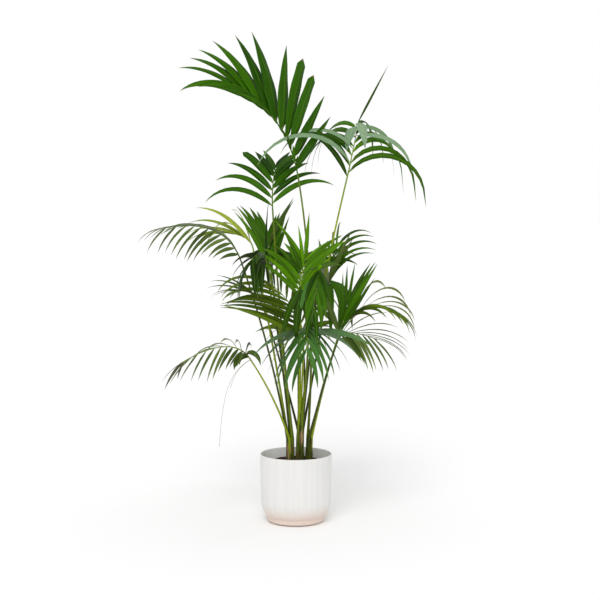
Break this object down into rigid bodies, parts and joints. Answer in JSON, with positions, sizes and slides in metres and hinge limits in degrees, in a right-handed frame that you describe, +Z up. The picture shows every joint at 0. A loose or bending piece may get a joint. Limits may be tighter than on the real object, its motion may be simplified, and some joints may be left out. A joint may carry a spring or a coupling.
{
  "type": "potted kentia palm",
  "caption": "Potted kentia palm: short clustered stems in a round white pot, long bare stalks and arching feather fronds with drooping leaflets.",
  "frame": {"origin": "centre of the pot's flat underside, on the surface that the pot stands on", "axes": "+Z up along the pot's axis; the plant's front faces -Y, with +X to its right as seen from the front"},
  "size_m": [1.008, 0.9273, 1.7672],
  "materials": {
    "pot_plastic": "moulded, off-white, softly matt",
    "potting_mix": "loose dark bark and peat, fully rough",
    "stem_sheath": "fibrous brown to olive leaf bases, rough",
    "stalk_green": "smooth yellow-green to dark green skin, satin",
    "leaf_deep": "leathery dark green blade, satin, paler below",
    "leaf_mid": "leathery mid green blade, satin, paler below",
    "leaf_bright": "young bright yellow-green blade, satin",
    "leaf_dusty": "older grey-green blade, dull satin"
  },
  "bodies": {
    "root": {"pot": "pot_plastic", "soil": "potting_mix", "stem_left": "stem_sheath", "stem_middle": "stem_sheath", "stem_right": "stem_sheath", "stem_back": "stem_sheath", "stalk_top_left": "stalk_green", "stalk_top_right": "stalk_green", "stalk_mid_left": "stalk_green", "stalk_upright_left": "stalk_green", "stalk_far_left": "stalk_green", "stalk_light_left": "stalk_green", "stalk_hanging_left": "stalk_green", "stalk_centre": "stalk_green", "stalk_back_right": "stalk_green", "stalk_upright_right": "stalk_green", "stalk_far_right": "stalk_green", "stalk_low_right": "stalk_green", "stalk_low_left": "stalk_green", "stalk_front": "stalk_green", "stalk_back_left": "stalk_green", "stalk_low_arc_left": "stalk_green", "stalk_back_high": "stalk_green", "stalk_back_low": "stalk_green", "stalk_front_high": "stalk_green", "stalk_spear": "stalk_green", "frond_top_left": "leaf_mid", "frond_top_right": "leaf_mid", "frond_mid_left": "leaf_deep", "frond_upright_left": "leaf_mid", "frond_far_left": "leaf_dusty", "frond_light_left": "leaf_bright", "frond_hanging_left": "leaf_deep", "frond_centre": "leaf_bright", "frond_back_right": "leaf_mid", "frond_upright_right": "leaf_bright", "frond_far_right": "leaf_mid", "frond_low_right": "leaf_mid", "frond_low_left": "leaf_dusty", "frond_front": "leaf_dusty", "frond_back_left": "leaf_mid", "frond_low_arc_left": "leaf_bright", "frond_back_high": "leaf_deep", "frond_back_low": "leaf_deep", "frond_front_high": "leaf_deep", "spear": "leaf_deep"}
  },
  "joints": []
}
